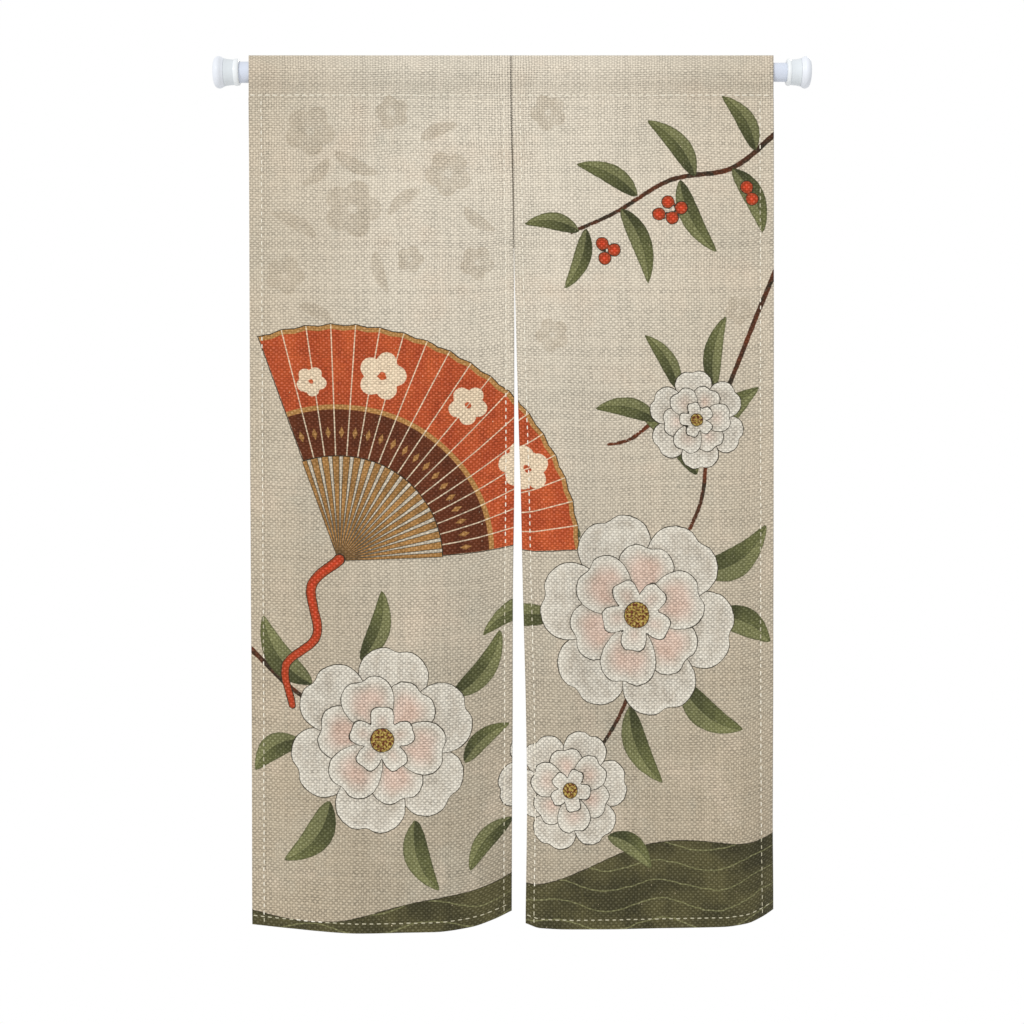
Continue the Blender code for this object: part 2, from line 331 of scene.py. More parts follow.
# Places of the mesh's columns in from a rounded edge, and about a hem's inner end
RIM_PLACES = (0.0, 0.0004, 0.0011, 0.0030, 0.0070)
HEM_END_PLACES = (-0.0045, -0.0006, 0.0005, 0.0035)


def hem_places(width):
    """Places in from an edge: close at the rounded edge and at the hem's inner end."""
    low, high = RIM_PLACES[-1], width + HEM_END_PLACES[0]
    between = np.linspace(low, high, ceil((high - low) / GRID) + 1)[1:-1]
    return [*RIM_PLACES, *between, *(width + place for place in HEM_END_PLACES)]


def path_rows():
    """Places down the sheet's path, from the back layer's end over the crease to the hem."""
    back = np.concatenate([[0.0, 0.0006, 0.0016], np.linspace(0.004, POCKET_PATH - 0.0015, 27)])
    back = -POCKET_PATH + back
    crease = [-0.0008, 0.0, 0.0008]
    front = np.linspace(0.003, POCKET_PATH + 0.004, 30)
    lower = HEM_PATH - np.array(hem_places(BOTTOM_HEM))[::-1]
    middle = np.linspace(front[-1], lower[0], round((lower[0] - front[-1]) / GRID) + 1)[1:-1]
    return np.concatenate([back[:-1], crease, front, middle, lower])


def hem_share(side, a, path):
    """1 where the cloth is folded into a hem and 0 elsewhere."""
    left_hem, right_hem = SIDE_HEMS[side]
    past_hem = np.stack([a - left_hem, PANEL_WIDTH - a - right_hem, HEM_PATH - path - BOTTOM_HEM])
    in_hem = (1.0 - smooth_step(-HEM_STEP, HEM_STEP, past_hem)).max(axis=0)
    return in_hem * smooth_step(POCKET_PATH, POCKET_PATH + 0.002, path)


def edge_sink(a, path):
    """How far each face sinks into the cloth to round its edges off."""
    from_edge = np.min([a, PANEL_WIDTH - a, HEM_PATH - path], axis=0)
    round_off = np.clip(EDGE_RADIUS - from_edge, 0.0, EDGE_RADIUS)
    left = np.sqrt(np.maximum(EDGE_RADIUS ** 2 - round_off ** 2, 0.0))
    return EDGE_SINK_SHARE * (EDGE_RADIUS - left)


def closed_faces(rows, columns):
    """Quads of a grid of outer points, of the inner points that follow them, and of the rim."""
    count = rows * columns
    index = np.arange(count).reshape(rows, columns)
    corners = (index[:-1, :-1], index[:-1, 1:], index[1:, 1:], index[1:, :-1])
    inner = np.stack([corner.ravel() for corner in corners], axis=1)
    outer = inner[:, [0, 3, 2, 1]]
    rim = np.concatenate([index[0, :-1], index[:-1, -1], index[-1, :0:-1], index[:0:-1, 0]])
    after = np.roll(rim, -1)
    sides = np.stack([rim, after, after + count, rim + count], axis=1)
    return np.concatenate([outer, inner + count, sides])


def build_panel(side):
    """One closed body of cloth: outer face, inner face and rounded rims."""
    sheet = Sheet(side)
    share, path = np.meshgrid(columns_across(side) / PANEL_WIDTH, path_rows())
    a = share * PANEL_WIDTH
    outer = sheet.face(share, path)
    inward = sheet.normal(share, path)
    thickness = CLOTH + HEM_EXTRA * hem_share(side, a, path)
    sink = edge_sink(a, path)
    front = outer + inward * sink[..., None]
    back = outer + inward * (thickness - sink)[..., None]
    points = np.concatenate([front.reshape(-1, 3), back.reshape(-1, 3)])

    mesh = bpy.data.meshes.new(side + "_cloth")
    mesh.from_pydata(points.tolist(), [], closed_faces(*share.shape).tolist())
    mesh.validate()
    mesh.shade_smooth()
    print_across = a - PANEL_WIDTH if side == "left" else a
    left_hem, right_hem = SIDE_HEMS[side]
    past_hem = np.minimum(a - left_hem, PANEL_WIDTH - a - right_hem)
    add_attributes(mesh, print_across.ravel(), path.ravel(), a.ravel(), past_hem.ravel())
    return add_object(side + "_cloth", mesh), sheet


def put_attribute(mesh, name, first, second, third):
    """Three values at each vertex, under one name."""
    layer = mesh.attributes.new(name, "FLOAT_VECTOR", "POINT")
    layer.data.foreach_set("vector", np.stack([first, second, third], axis=1).astype(np.float32).ravel())


def add_attributes(mesh, u, v, a, past_hem):
    """Cloth and print places, and the print's distance fields, for the outer and inner face."""
    inner_face = np.repeat([0.0, 1.0], u.size)
    put_attribute(mesh, "print_place", *np.tile([u, v], 2), inner_face)
    put_attribute(mesh, "cloth_place", *np.tile([a, v, past_hem], 2))
    fields = print_fields(u, v)
    for number, names in enumerate(FIELD_GROUPS):
        put_attribute(mesh, f"field_{number}", *np.tile([fields[name] for name in names], 2))


# The print. A generic design of a folding fan, camellias, a berry branch, leaves and a hill.
# Places are (across, down) in metres.

# The fan. Its paper, band and gems lie at shares of its radius, and its sides are in degrees
FAN_PIVOT = (-0.285, 0.835)
FAN_RADIUS = 0.385
FAN_PAPER = 0.44
FAN_GEMS = 0.54
FAN_BAND = 0.64
FAN_RIVET = 0.009
FAN_START = 2.0
FAN_END = 110.0
FAN_PLEATS = 18

# The hill's crest: its drop at the left, its rise to the right and a slow wave
HILL_DROP = 1.418
HILL_RISE = 0.118
HILL_WAVE = 0.010

# Columns: across, down, radius, turn in degrees
BLOOMS = (
    (0.195, 0.930, 0.165, 12.0),
    (-0.215, 1.130, 0.150, 40.0),
    (0.075, 1.215, 0.098, -8.0),
    (0.300, 0.610, 0.080, 25.0),
)

# Columns: base across, base down, tip across, tip down, half width, bend, layer
LEAVES = (
    (0.300, 0.700, 0.205, 0.600, 0.021, 0.016, 0),
    (0.315, 0.660, 0.405, 0.560, 0.022, -0.014, 1),
    (0.235, 0.610, 0.130, 0.590, 0.017, 0.012, 1),
    (0.330, 0.560, 0.350, 0.440, 0.016, -0.012, 0),
    (0.270, 0.560, 0.215, 0.470, 0.015, 0.010, 1),
    (0.300, 0.860, 0.418, 0.790, 0.027, 0.020, 0),
    (0.320, 0.930, 0.424, 0.985, 0.024, -0.016, 1),
    (0.270, 1.040, 0.375, 1.120, 0.025, 0.018, 0),
    (0.100, 0.800, 0.025, 0.700, 0.022, -0.018, 0),
    (0.060, 0.930, -0.050, 0.965, 0.019, 0.016, 1),
    (0.180, 1.080, 0.235, 1.205, 0.022, 0.016, 1),
    (-0.100, 1.060, -0.020, 0.960, 0.021, 0.018, 0),
    (-0.330, 1.040, -0.410, 0.930, 0.023, -0.018, 0),
    (-0.250, 1.000, -0.215, 0.885, 0.019, 0.014, 1),
    (-0.350, 1.130, -0.424, 1.185, 0.021, 0.014, 1),
    (-0.300, 1.230, -0.375, 1.330, 0.024, -0.018, 0),
    (-0.160, 1.260, -0.120, 1.375, 0.022, 0.016, 1),
    (-0.080, 1.170, -0.005, 1.120, 0.017, -0.012, 1),
    (0.000, 1.280, -0.070, 1.350, 0.019, 0.014, 0),
    (0.140, 1.290, 0.215, 1.345, 0.018, -0.012, 0),
    (0.400, 0.168, 0.345, 0.078, 0.0165, 0.012, 0),
    (0.362, 0.197, 0.412, 0.305, 0.0180, -0.012, 1),
    (0.300, 0.210, 0.222, 0.118, 0.0180, 0.013, 1),
    (0.275, 0.216, 0.335, 0.335, 0.0175, 0.012, 0),
    (0.205, 0.242, 0.105, 0.190, 0.0170, 0.012, 0),
    (0.178, 0.262, 0.222, 0.385, 0.0175, -0.012, 1),
    (0.108, 0.300, 0.018, 0.288, 0.0150, 0.011, 1),
    (0.120, 0.296, 0.082, 0.395, 0.0150, -0.010, 0),
)

# Columns: points of a branch as (across, down), half width
BRANCHES = (
    (((0.432, 0.370), (0.385, 0.480), (0.322, 0.640), (0.300, 0.760), (0.205, 0.930)), 0.0044),
    (((0.335, 0.585), (0.250, 0.600), (0.190, 0.640), (0.150, 0.650)), 0.0040),
    (((0.205, 0.930), (0.170, 1.080), (0.075, 1.215)), 0.0042),
    (((-0.432, 0.985), (-0.345, 1.060), (-0.215, 1.130)), 0.0044),
    (((0.436, 0.138), (0.360, 0.197), (0.260, 0.216), (0.170, 0.268), (0.095, 0.302)), 0.0046),
)
RIBBON = (((-0.285, 0.835), (-0.330, 0.880), (-0.322, 0.960), (-0.372, 1.010), (-0.362, 1.075)), 0.0085)

# Red berries of the upper branch: across, down
BERRIES = (
    (0.255, 0.252), (0.277, 0.262), (0.262, 0.278), (0.240, 0.272),
    (0.146, 0.320), (0.166, 0.330), (0.150, 0.344),
    (0.385, 0.228), (0.394, 0.248),
)
BERRY_RADIUS = 0.0105

# White plum blossoms on the fan. Columns: across, down, radius, turn in degrees
FAN_PLUMS = (
    (-0.215, 0.535, 0.042, 0.0),
    (-0.075, 0.585, 0.034, 20.0),
    (0.012, 0.690, 0.040, 45.0),
    (-0.330, 0.545, 0.026, 10.0),
)

# Faint blossoms and leaves in the ground. Columns as in FAN_PLUMS, and in LEAVES but for the layer
GHOST_PLUMS = (
    (-0.330, 0.135, 0.044, 10.0),
    (-0.195, 0.105, 0.030, 40.0),
    (-0.262, 0.262, 0.050, 0.0),
    (-0.105, 0.205, 0.040, 25.0),
    (-0.372, 0.372, 0.034, 5.0),
    (-0.060, 0.352, 0.030, 15.0),
    (0.060, 0.105, 0.032, 30.0),
    (-0.168, 0.345, 0.024, 0.0),
    (0.060, 0.470, 0.030, 33.0),
    (0.372, 0.430, 0.026, 20.0),
)
GHOST_LEAVES = (
    (-0.290, 0.170, -0.215, 0.205, 0.012, 0.006),
    (-0.300, 0.180, -0.345, 0.225, 0.011, -0.006),
    (-0.150, 0.150, -0.085, 0.125, 0.011, -0.005),
    (-0.150, 0.230, -0.205, 0.275, 0.011, 0.006),
    (-0.320, 0.310, -0.395, 0.270, 0.012, 0.006),
    (-0.225, 0.330, -0.205, 0.400, 0.011, 0.005),
    (-0.080, 0.260, -0.030, 0.300, 0.011, 0.005),
    (-0.350, 0.420, -0.290, 0.455, 0.011, -0.006),
)


def field_of_leaf(u, v, base_u, base_v, tip_u, tip_v, half_width, bend):
    """Distance from a leaf's outline, from its midrib, and the share along it."""
    reach = sqrt((tip_u - base_u) ** 2 + (tip_v - base_v) ** 2)
    ax, ay = (tip_u - base_u) / reach, (tip_v - base_v) / reach
    along = (u - base_u) * ax + (v - base_v) * ay
    aside = (u - base_u) * -ay + (v - base_v) * ax
    t = along / reach
    inside = np.clip(t, 0.0, 1.0)
    aside = aside - bend * 4.0 * inside * (1.0 - inside)
    width = half_width * (4.0 * inside * (1.0 - inside)) ** 0.70 * (1.18 - 0.46 * inside)
    beyond = np.maximum(-along, along - reach).clip(0.0)
    return np.hypot(aside, beyond) - width, aside, t


def curve_through(points, count):
    """A number of places on a Catmull-Rom curve through evenly spaced points."""
    points = np.array(points)
    padded = np.concatenate([[2 * points[0] - points[1]], points, [2 * points[-1] - points[-2]]])
    place = np.linspace(0.0, 1.0, count) * (len(points) - 1)
    i = np.clip(place.astype(int), 0, len(points) - 2)
    t = (place - i)[:, None]
    p0, p1, p2, p3 = padded[i], padded[i + 1], padded[i + 2], padded[i + 3]
    return 0.5 * (2 * p1 + (p2 - p0) * t + (2 * p0 - 5 * p1 + 4 * p2 - p3) * t ** 2
                  + (3 * p1 - p0 - 3 * p2 + p3) * t ** 3)


def field_of_line(u, v, points, half_width):
    """Distance from the edge of a smooth branch that thins towards its end."""
    line = curve_through(points, 60)
    best = np.full(u.shape, 9.0)
    for k in range(len(line) - 1):
        (x0, y0), (x1, y1) = line[k], line[k + 1]
        dx, dy = x1 - x0, y1 - y0
        t = np.clip(((u - x0) * dx + (v - y0) * dy) / (dx * dx + dy * dy), 0.0, 1.0)
        width = half_width * (1.0 - 0.35 * (k + t) / (len(line) - 1))
        best = np.minimum(best, np.hypot(u - x0 - t * dx, v - y0 - t * dy) - width)
    return best


# Columns: number of petals, centre, length and width as shares of the bloom's radius, turn in steps
PETAL_RINGS = (
    (6, 0.62, 0.40, 0.37, 0.0),
    (6, 0.40, 0.32, 0.28, 0.5),
    (5, 0.20, 0.20, 0.125, 0.2),
)


def field_of_petal(u, v, bloom, ring, number):
    across, down, radius, turn = bloom
    petals, centre, length, width, shift = ring
    angle = radians(turn) + 2 * pi * (number + shift) / petals
    x, y = u - across, v - down
    along = (x * cos(angle) + y * sin(angle)) / radius - centre
    aside = (-x * sin(angle) + y * cos(angle)) / radius
    notch = 0.05 * np.exp(-(aside / 0.09) ** 2) * smooth_step(0.0, length, along)
    blunt = width * (1.0 + 0.30 * along / length)
    oval = np.sqrt((along / (length - notch)) ** 2 + (aside / blunt) ** 2)
    return (oval - 1.0) * radius * min(length, width)


def field_of_plum(u, v, across, down, radius, turn):
    best = np.full(u.shape, 9.0)
    for k in range(5):
        angle = radians(turn) + 2 * pi * k / 5
        x, y = across + 0.55 * radius * cos(angle), down + 0.55 * radius * sin(angle)
        best = np.minimum(best, np.hypot(u - x, v - y) - 0.40 * radius)
    hole = 0.13 * radius - np.hypot(u - across, v - down)
    return np.maximum(best, hole)


def print_fields(u, v):
    """Distance fields of the print's motifs: negative inside, in metres."""
    fields = {}
    for name, ring in zip("abc", PETAL_RINGS):
        step = 1 if name == "c" else 2
        for first in range(step):
            petals = [field_of_petal(u, v, bloom, ring, number)
                      for bloom in BLOOMS for number in range(first, ring[0], step)]
            fields[f"petal_{name}{first}"] = np.min(petals, axis=0)
    fields["heart"] = np.min([np.hypot(u - x, v - y) - 0.13 * r for x, y, r, _ in BLOOMS], axis=0)

    for layer in (0, 1):
        leaves = np.array([field_of_leaf(u, v, *leaf[:-1]) for leaf in LEAVES if leaf[-1] == layer])
        nearest = leaves[:, 0].argmin(axis=0)
        names = (f"leaf_{layer}", f"leaf_rib_{layer}", f"leaf_along_{layer}")
        fields.update(zip(names, leaves[nearest, :, np.arange(u.size)].T))

    fields["branch"] = np.min([field_of_line(u, v, *branch) for branch in BRANCHES], axis=0)
    fields["ribbon"] = field_of_line(u, v, *RIBBON)
    fields["berry"] = np.min([np.hypot(u - x, v - y) for x, y in BERRIES], axis=0) - BERRY_RADIUS
    fields["fan_plum"] = np.min([field_of_plum(u, v, *plum) for plum in FAN_PLUMS], axis=0)
    ghosts = [field_of_plum(u, v, *plum) for plum in GHOST_PLUMS]
    ghosts += [field_of_leaf(u, v, *leaf)[0] for leaf in GHOST_LEAVES]
    fields["ghost"] = np.min(ghosts, axis=0)
    crest = HILL_DROP - HILL_RISE * smooth_step(-0.30, 0.36, u) + HILL_WAVE * np.sin(17.0 * u + 1.0)
    fields["hill"] = crest - v
    return fields


# Each attribute of the mesh holds three of the fields
FIELD_NAMES = sorted(print_fields(np.zeros(1), np.zeros(1)))
FIELD_GROUPS = [FIELD_NAMES[first:first + 3] for first in range(0, len(FIELD_NAMES), 3)]


class Painter:
    """Short calls for the shader nodes of one material."""

    def __init__(self, name):
        self.material = bpy.data.materials.new(name)
        self.material.use_nodes = True
        self.tree = self.material.node_tree
        self.shader = self.tree.nodes["Principled BSDF"]

    def put(self, socket, value):
        if isinstance(value, bpy.types.NodeSocket):
            self.tree.links.new(value, socket)
        else:
            socket.default_value = value

    def node(self, kind, *values, **settings):
        """A new node with its settings and the values of its first inputs."""
        node = self.tree.nodes.new("ShaderNode" + kind)
        for name, setting in settings.items():
            setattr(node, name, setting)
        for socket, value in zip(node.inputs, values):
            self.put(socket, value)
        return node

    def fill(self, node, **values):
        """A node's inputs, each by its name with _ for a space."""
        for name, value in values.items():
            self.put(node.inputs[name.replace("_", " ")], value)
        return node

    def math(self, operation, *values):
        return self.node("Math", *values, operation=operation).outputs[0]

    add = partialmethod(math, "ADD")
    sub = partialmethod(math, "SUBTRACT")
    mul = partialmethod(math, "MULTIPLY")
    mad = partialmethod(math, "MULTIPLY_ADD")
    both = partialmethod(math, "MINIMUM")
    either = partialmethod(math, "MAXIMUM")
    size = partialmethod(math, "ABSOLUTE")
    sine = partialmethod(math, "SINE")
    cosine = partialmethod(math, "COSINE")
    exponent = partialmethod(math, "EXPONENT")
    bounce = partialmethod(math, "PINGPONG")

    def smooth(self, value, low, high, full=1.0):
        """0 at low and full at high, smooth between them; low may be the larger."""
        ends = (high, low, full, 0.0) if low > high else (low, high, 0.0, full)
        return self.node("MapRange", value, *ends, interpolation_type="SMOOTHSTEP").outputs["Result"]

    def mix(self, factor, a, b, blend="MIX"):
        node = self.node("Mix", factor, data_type="RGBA", blend_type=blend)
        self.put(node.inputs[6], a)
        self.put(node.inputs[7], b)
        return node.outputs[2]

    def fade(self, value, low, high, a, b, full=1.0):
        """Colour a, and b over it up to a full share, where a value goes from low to high."""
        return self.mix(self.smooth(value, low, high, full), a, b)

    def grey(self, colour):
        return self.node("RGBToBW", colour).outputs[0]

    def split(self, vector):
        return tuple(self.node("SeparateXYZ", vector).outputs)

    def join(self, x, y, z=0.0):
        return self.node("CombineXYZ", x, y, z).outputs[0]

    def attribute(self, name):
        return self.node("Attribute", attribute_name=name).outputs["Vector"]

    def noise(self, vector, scale, detail=2.0, roughness=0.5, distortion=0.0):
        node = self.node("TexNoise", vector)
        self.fill(node, Scale=scale, Detail=detail, Roughness=roughness, Distortion=distortion)
        return node.outputs["Fac"]

    def wander(self, x, y, scale, detail, roughness):
        """Noise about 0 at a place of a plane."""
        return self.sub(self.noise(self.join(x, y), scale, detail, roughness), 0.5)

    def chance(self, x, y, z):
        """A value from -0.5 to 0.5, another for each whole place."""
        node = self.node("TexWhiteNoise", self.join(x, y, z), noise_dimensions="3D")
        return self.sub(node.outputs["Value"], 0.5)

    def bump(self, height, distance, strength, **under):
        node = self.fill(self.node("Bump"), Height=height, Distance=distance, Strength=strength, **under)
        return node.outputs["Normal"]


# Colours of the cloth and the print
GROUND_TOP = srgb(216, 206, 188)
GROUND_LOW = srgb(167, 155, 134)
GROUND_EDGE = srgb(184, 168, 143)
GROUND_WARM = srgb(208, 190, 168)
GROUND_GREY = srgb(176, 172, 156)
INK = srgb(50, 44, 32)
TERRACOTTA = srgb(194, 90, 46)
TERRACOTTA_DARK = srgb(160, 64, 32)
BROWN = srgb(100, 50, 26)
OCHRE = srgb(172, 126, 70)
CREAM = srgb(224, 206, 176)
PETAL = srgb(212, 206, 192)
PETAL_SHADE = srgb(178, 168, 152)
BLUSH = srgb(206, 150, 128)
STAMEN = srgb(170, 146, 72)
OLIVE = srgb(106, 108, 66)
OLIVE_DARK = srgb(64, 66, 40)
OLIVE_LIGHT = srgb(146, 146, 100)
HILL = srgb(90, 85, 54)
HILL_DARK = srgb(61, 58, 37)
GHOST = srgb(172, 158, 136)
# Pale fibre on the raised crossings, also used as their painted highlight
FIBRE_HIGHLIGHT = srgb(214, 210, 198)
RED = srgb(204, 66, 34)
THREAD = srgb(250, 243, 225)
INKED_THREAD = srgb(196, 190, 162)
# The seam's threads, coloured dark as painted shade in its groove
SHADED_SEAM_THREAD = srgb(120, 108, 88)

YARN_ACROSS = 0.00440
YARN_DOWN = 0.00410


def paint_print(p, u, v, fields):
    """Colour of the print at a place."""
    plane = p.join(u, v)
    cloud = p.noise(plane, 5.0, 4.0, 0.62)
    blotch = p.noise(plane, 22.0, 3.0, 0.6, 0.6)
    warm = p.noise(p.join(p.add(u, 7.3), v), 9.0, 3.0, 0.55)
    wash = p.noise(p.join(u, p.mul(v, 0.6)), 34.0, 4.0, 0.7)
    tremble = p.mul(p.wander(u, v, 90.0, 2.0, 0.5), 0.0022)

    def inside(field, soft=0.0006):
        return p.smooth(p.add(field, tremble), soft, -soft)

    def ink_line(field, half_width=0.0005):
        """A pen line that swells and thins along an outline."""
        swell = p.mad(wash, -0.0012, 0.0006 - half_width)
        return p.smooth(p.add(p.size(p.add(field, tremble)), swell), 0.0005, -0.0003)

    def outlined(colour, field, fill):
        """A motif on the colour under it, with a pen line round it."""
        return p.mix(ink_line(field), p.mix(inside(field), colour, fill), INK)

    # Mottled ground, paler at the top and duller at the outer sides
    colour = p.fade(v, 0.05, 1.45, GROUND_TOP, GROUND_LOW)
    duller_left = p.mad(p.smooth(u, 0.1, -0.2), 0.20, 0.42)
    colour = p.fade(p.size(p.add(u, 0.03)), 0.10, 0.45, colour, GROUND_EDGE, duller_left)
    colour = p.fade(cloud, 0.42, 0.75, colour, GROUND_GREY, 0.30)
    colour = p.fade(blotch, 0.50, 0.78, colour, GROUND_GREY, 0.22)
    colour = p.fade(warm, 0.50, 0.75, colour, GROUND_WARM, 0.45)

    ghost = p.mul(inside(fields["ghost"], 0.0010), p.smooth(wash, 0.10, 0.70, 0.56))
    colour = p.mix(ghost, colour, GHOST)

    # Hill with light wave lines
    hill = p.fade(p.noise(plane, 14.0, 3.0, 0.6), 0.3, 0.7, HILL, HILL_DARK)
    wave = p.mad(v, 62.0, p.mul(p.sine(p.mul(u, 34.0)), 0.55))
    wave = p.mad(cloud, 2.0, wave)
    hill = p.fade(p.bounce(wave, 1.0), 0.10, 0.02, hill, OLIVE_LIGHT, 0.5)
    colour = outlined(colour, fields["hill"], hill)

    # Branches, leaves and berries
    colour = p.mix(inside(fields["branch"]), colour, p.fade(blotch, 0.35, 0.65, BROWN, INK))
    for layer in ("0", "1"):
        outline, rib, along = (fields[name + layer] for name in ("leaf_", "leaf_rib_", "leaf_along_"))
        tone = p.smooth(p.mad(p.sub(wash, 0.5), 0.9, along), 0.0, 1.0)
        leaf = p.mix(tone, OLIVE_DARK, OLIVE)
        leaf = p.fade(rib, -0.0006, 0.0006, leaf, OLIVE_LIGHT, 0.42)
        vein = p.mad(p.size(rib), -130.0, p.mul(along, 11.0))
        leaf = p.fade(p.bounce(vein, 0.5), 0.075, 0.02, leaf, OLIVE_DARK, 0.28)
        leaf = p.fade(p.size(rib), 0.0010, 0.0002, leaf, OLIVE_DARK, 0.6)
        leaf = p.fade(outline, -0.0035, 0.0, leaf, OLIVE_DARK, 0.55)
        colour = p.mix(inside(outline), colour, leaf)
    berry = p.fade(fields["berry"], -0.009, -0.001, RED, TERRACOTTA_DARK)
    colour = outlined(colour, fields["berry"], berry)

    colour = paint_fan(p, colour, u, v, wash, tremble, inside(fields["fan_plum"]))

    # Ribbon
    ribbon = p.fade(fields["ribbon"], -0.0085, -0.001, RED, TERRACOTTA_DARK)
    colour = outlined(colour, fields["ribbon"], ribbon)

    # Camellias, from the outer petals in
    order = ("petal_a0", "petal_a1", "petal_b0", "petal_b1", "petal_c0", "heart")
    for name, above in zip(order, order[1:] + (None,)):
        field = fields[name]
        petal = p.fade(wash, 0.25, 0.8, PETAL, PETAL_SHADE)
        petal = p.fade(field, -0.012, 0.0, petal, PETAL)
        if name in ("petal_b0", "petal_b1", "petal_c0"):
            petal = p.fade(field, -0.004, -0.030, petal, BLUSH, 0.40)
        if name == "heart":
            petal = p.fade(p.noise(plane, 260.0, 1.0), 0.40, 0.60, STAMEN, BROWN)
        if above:
            petal = p.fade(fields[above], 0.010, 0.0, petal, PETAL_SHADE, 0.60)
        colour = outlined(colour, field, petal)

    # Pale specks where the ink didn't take
    return p.fade(p.noise(plane, 240.0, 1.0), 0.765, 0.795, colour, CREAM, 0.7)


def paint_fan(p, colour, u, v, wash, tremble, plum):
    """An open folding fan: terracotta paper with pale ribs, a brown band and ochre sticks."""
    radius, paper = FAN_RADIUS, FAN_PAPER
    start, end = radians(FAN_START), radians(FAN_END)
    du, dv = p.sub(u, FAN_PIVOT[0]), p.sub(v, FAN_PIVOT[1])
    reach = p.math("SQRT", p.mad(du, du, p.mul(dv, dv)))
    angle = p.math("ARCTAN2", p.mul(dv, -1.0), du)
    turn = p.math("DIVIDE", p.sub(angle, start), end - start)
    pleat = p.mul(turn, FAN_PLEATS)
    tooth = p.bounce(pleat, 0.5)
    arc = p.mul(reach, (end - start) / FAN_PLEATS)
    rib_distance = p.mul(tooth, arc)
    rim = p.sub(p.mad(tooth, 0.006, reach), radius)
    sides = p.mul(p.either(p.mul(turn, -1.0), p.sub(turn, 1.0)), p.mul(reach, end - start))
    outline = p.either(rim, sides)
    paper_field = p.either(outline, p.sub(paper * radius, reach))

    sheet = p.fade(wash, 0.25, 0.8, TERRACOTTA, TERRACOTTA_DARK)
    every_other = p.math("FLOORED_MODULO", pleat, 2.0)
    sheet = p.fade(every_other, 0.98, 1.02, sheet, TERRACOTTA_DARK, 0.30)
    sheet = p.mix(p.mul(plum, 0.92), sheet, CREAM)
    band = p.smooth(reach, radius * FAN_BAND, radius * (FAN_BAND - 0.004))
    sheet = p.mix(band, sheet, p.fade(wash, 0.3, 0.8, BROWN, darker(BROWN)))
    gem = p.mad(p.size(p.sub(reach, radius * FAN_GEMS)), 0.45, p.sub(p.mul(arc, 0.5), rib_distance))
    sheet = p.fade(gem, 0.0048, 0.0038, sheet, OCHRE, p.mul(band, 0.8))
    sheet = p.fade(p.size(p.sub(reach, radius * (FAN_BAND + 0.008))), 0.0045, 0.0035, sheet, OCHRE)
    sheet = p.fade(rim, -0.0085, -0.0075, sheet, OCHRE)
    sheet = p.fade(p.mad(tremble, 0.3, rib_distance), 0.0013, 0.0005, sheet, CREAM, 0.85)

    stick_field = p.sub(rib_distance, p.mad(arc, 0.30, 0.0004))
    in_sticks = p.either(p.sub(reach, paper * radius), p.sub(0.004, reach))
    stick_field = p.either(p.either(stick_field, in_sticks), p.sub(sides, 0.002))
    sticks = p.fade(wash, 0.3, 0.7, OCHRE, darker(OCHRE))
    colour = p.fade(stick_field, 0.0005, -0.0005, colour, sticks)
    colour = p.fade(p.size(stick_field), 0.0011, 0.0003, colour, INK, 0.8)
    shaky = p.add(paper_field, tremble)
    colour = p.fade(shaky, 0.0006, -0.0006, colour, sheet)
    colour = p.fade(p.size(shaky), 0.0013, 0.0003, colour, INK)
    rivet = p.sub(reach, FAN_RIVET)
    colour = p.fade(rivet, 0.0005, -0.0005, colour, OCHRE)
    return p.fade(p.size(rivet), 0.0013, 0.0003, colour, INK)


def weave(p, a, b, from_middle):
    """A coarse plain weave: its crossings, its relief, its shade, its fuzz and each crossing's chance."""
    # Yarns wander and slant a little, and lie closer near the top
    drift_a = p.wander(a, p.mul(b, 0.45), 60.0, 3.0, 0.62)
    drift_b = p.wander(p.mad(a, 0.45, 3.7), b, 60.0, 3.0, 0.62)
    slant = p.wander(p.add(a, 5.1), b, 5.0, 2.0, 0.5)
    warp = p.mad(a, 1.0 / YARN_ACROSS, p.mad(drift_a, 1.5, p.mul(slant, 2.0)))
    closer_at_top = p.mul(p.exponent(p.mul(b, -2.5)), -9.0)
    weft = p.mad(b, 1.0 / YARN_DOWN, p.mad(drift_b, 1.5, p.mad(slant, 3.5, closer_at_top)))

    # Every second crossing shows the weft on top. Rows and columns stand out in turn, in patches
    crossing = p.mul(p.cosine(p.mul(warp, pi)), p.cosine(p.mul(weft, pi)))
    rows, columns = (p.cosine(p.mul(yarn, 2 * pi)) for yarn in (weft, warp))
    grain = p.wander(p.add(a, 1.3), b, 30.0, 2.0, 0.5)
    near_top = p.exponent(p.mul(b, -3.0))
    grid = p.smooth(p.noise(p.join(p.add(a, 2.9), b), 8.0, 2.0, 0.5), 0.42, 0.66, 0.7)
    grid = p.mul(p.either(grid, p.smooth(from_middle, 0.11, 0.02)), near_top)
    row_share = p.mad(grain, 0.30, p.mad(grid, 0.06, 0.195))
    column_share = p.mad(grain, -0.30, p.mad(grid, 0.10, 0.125))
    cross_share = p.mad(grid, -0.05, p.mad(near_top, -0.09, 0.420))
    relief = p.mad(columns, column_share, p.mad(crossing, cross_share, p.mul(rows, row_share)))

    # No two crossings or yarns are alike
    warp_number, weft_number = p.math("ROUND", warp), p.math("ROUND", weft)
    each_crossing = p.chance(warp_number, weft_number, 0.5)
    each_warp = p.chance(warp_number, 0.0, 1.5)
    each_weft = p.chance(0.0, weft_number, 2.5)
    fuzz = p.wander(a, b, 360.0, 2.0, 0.65)
    # The shade starts as the relief painted as light and shade: raised yarns lighter, the gaps between
    # them darker
    shade = relief
    for part, share in ((each_crossing, 0.13), (each_warp, 0.09), (each_weft, 0.10), (fuzz, 0.31)):
        shade = p.mad(part, share, shade)
    # High spots are held back, so that no crossing stands out as a bright dot
    shade = p.mad(p.mul(shade, shade), -0.80, p.add(shade, 1.060))
    return crossing, relief, shade, fuzz, each_crossing


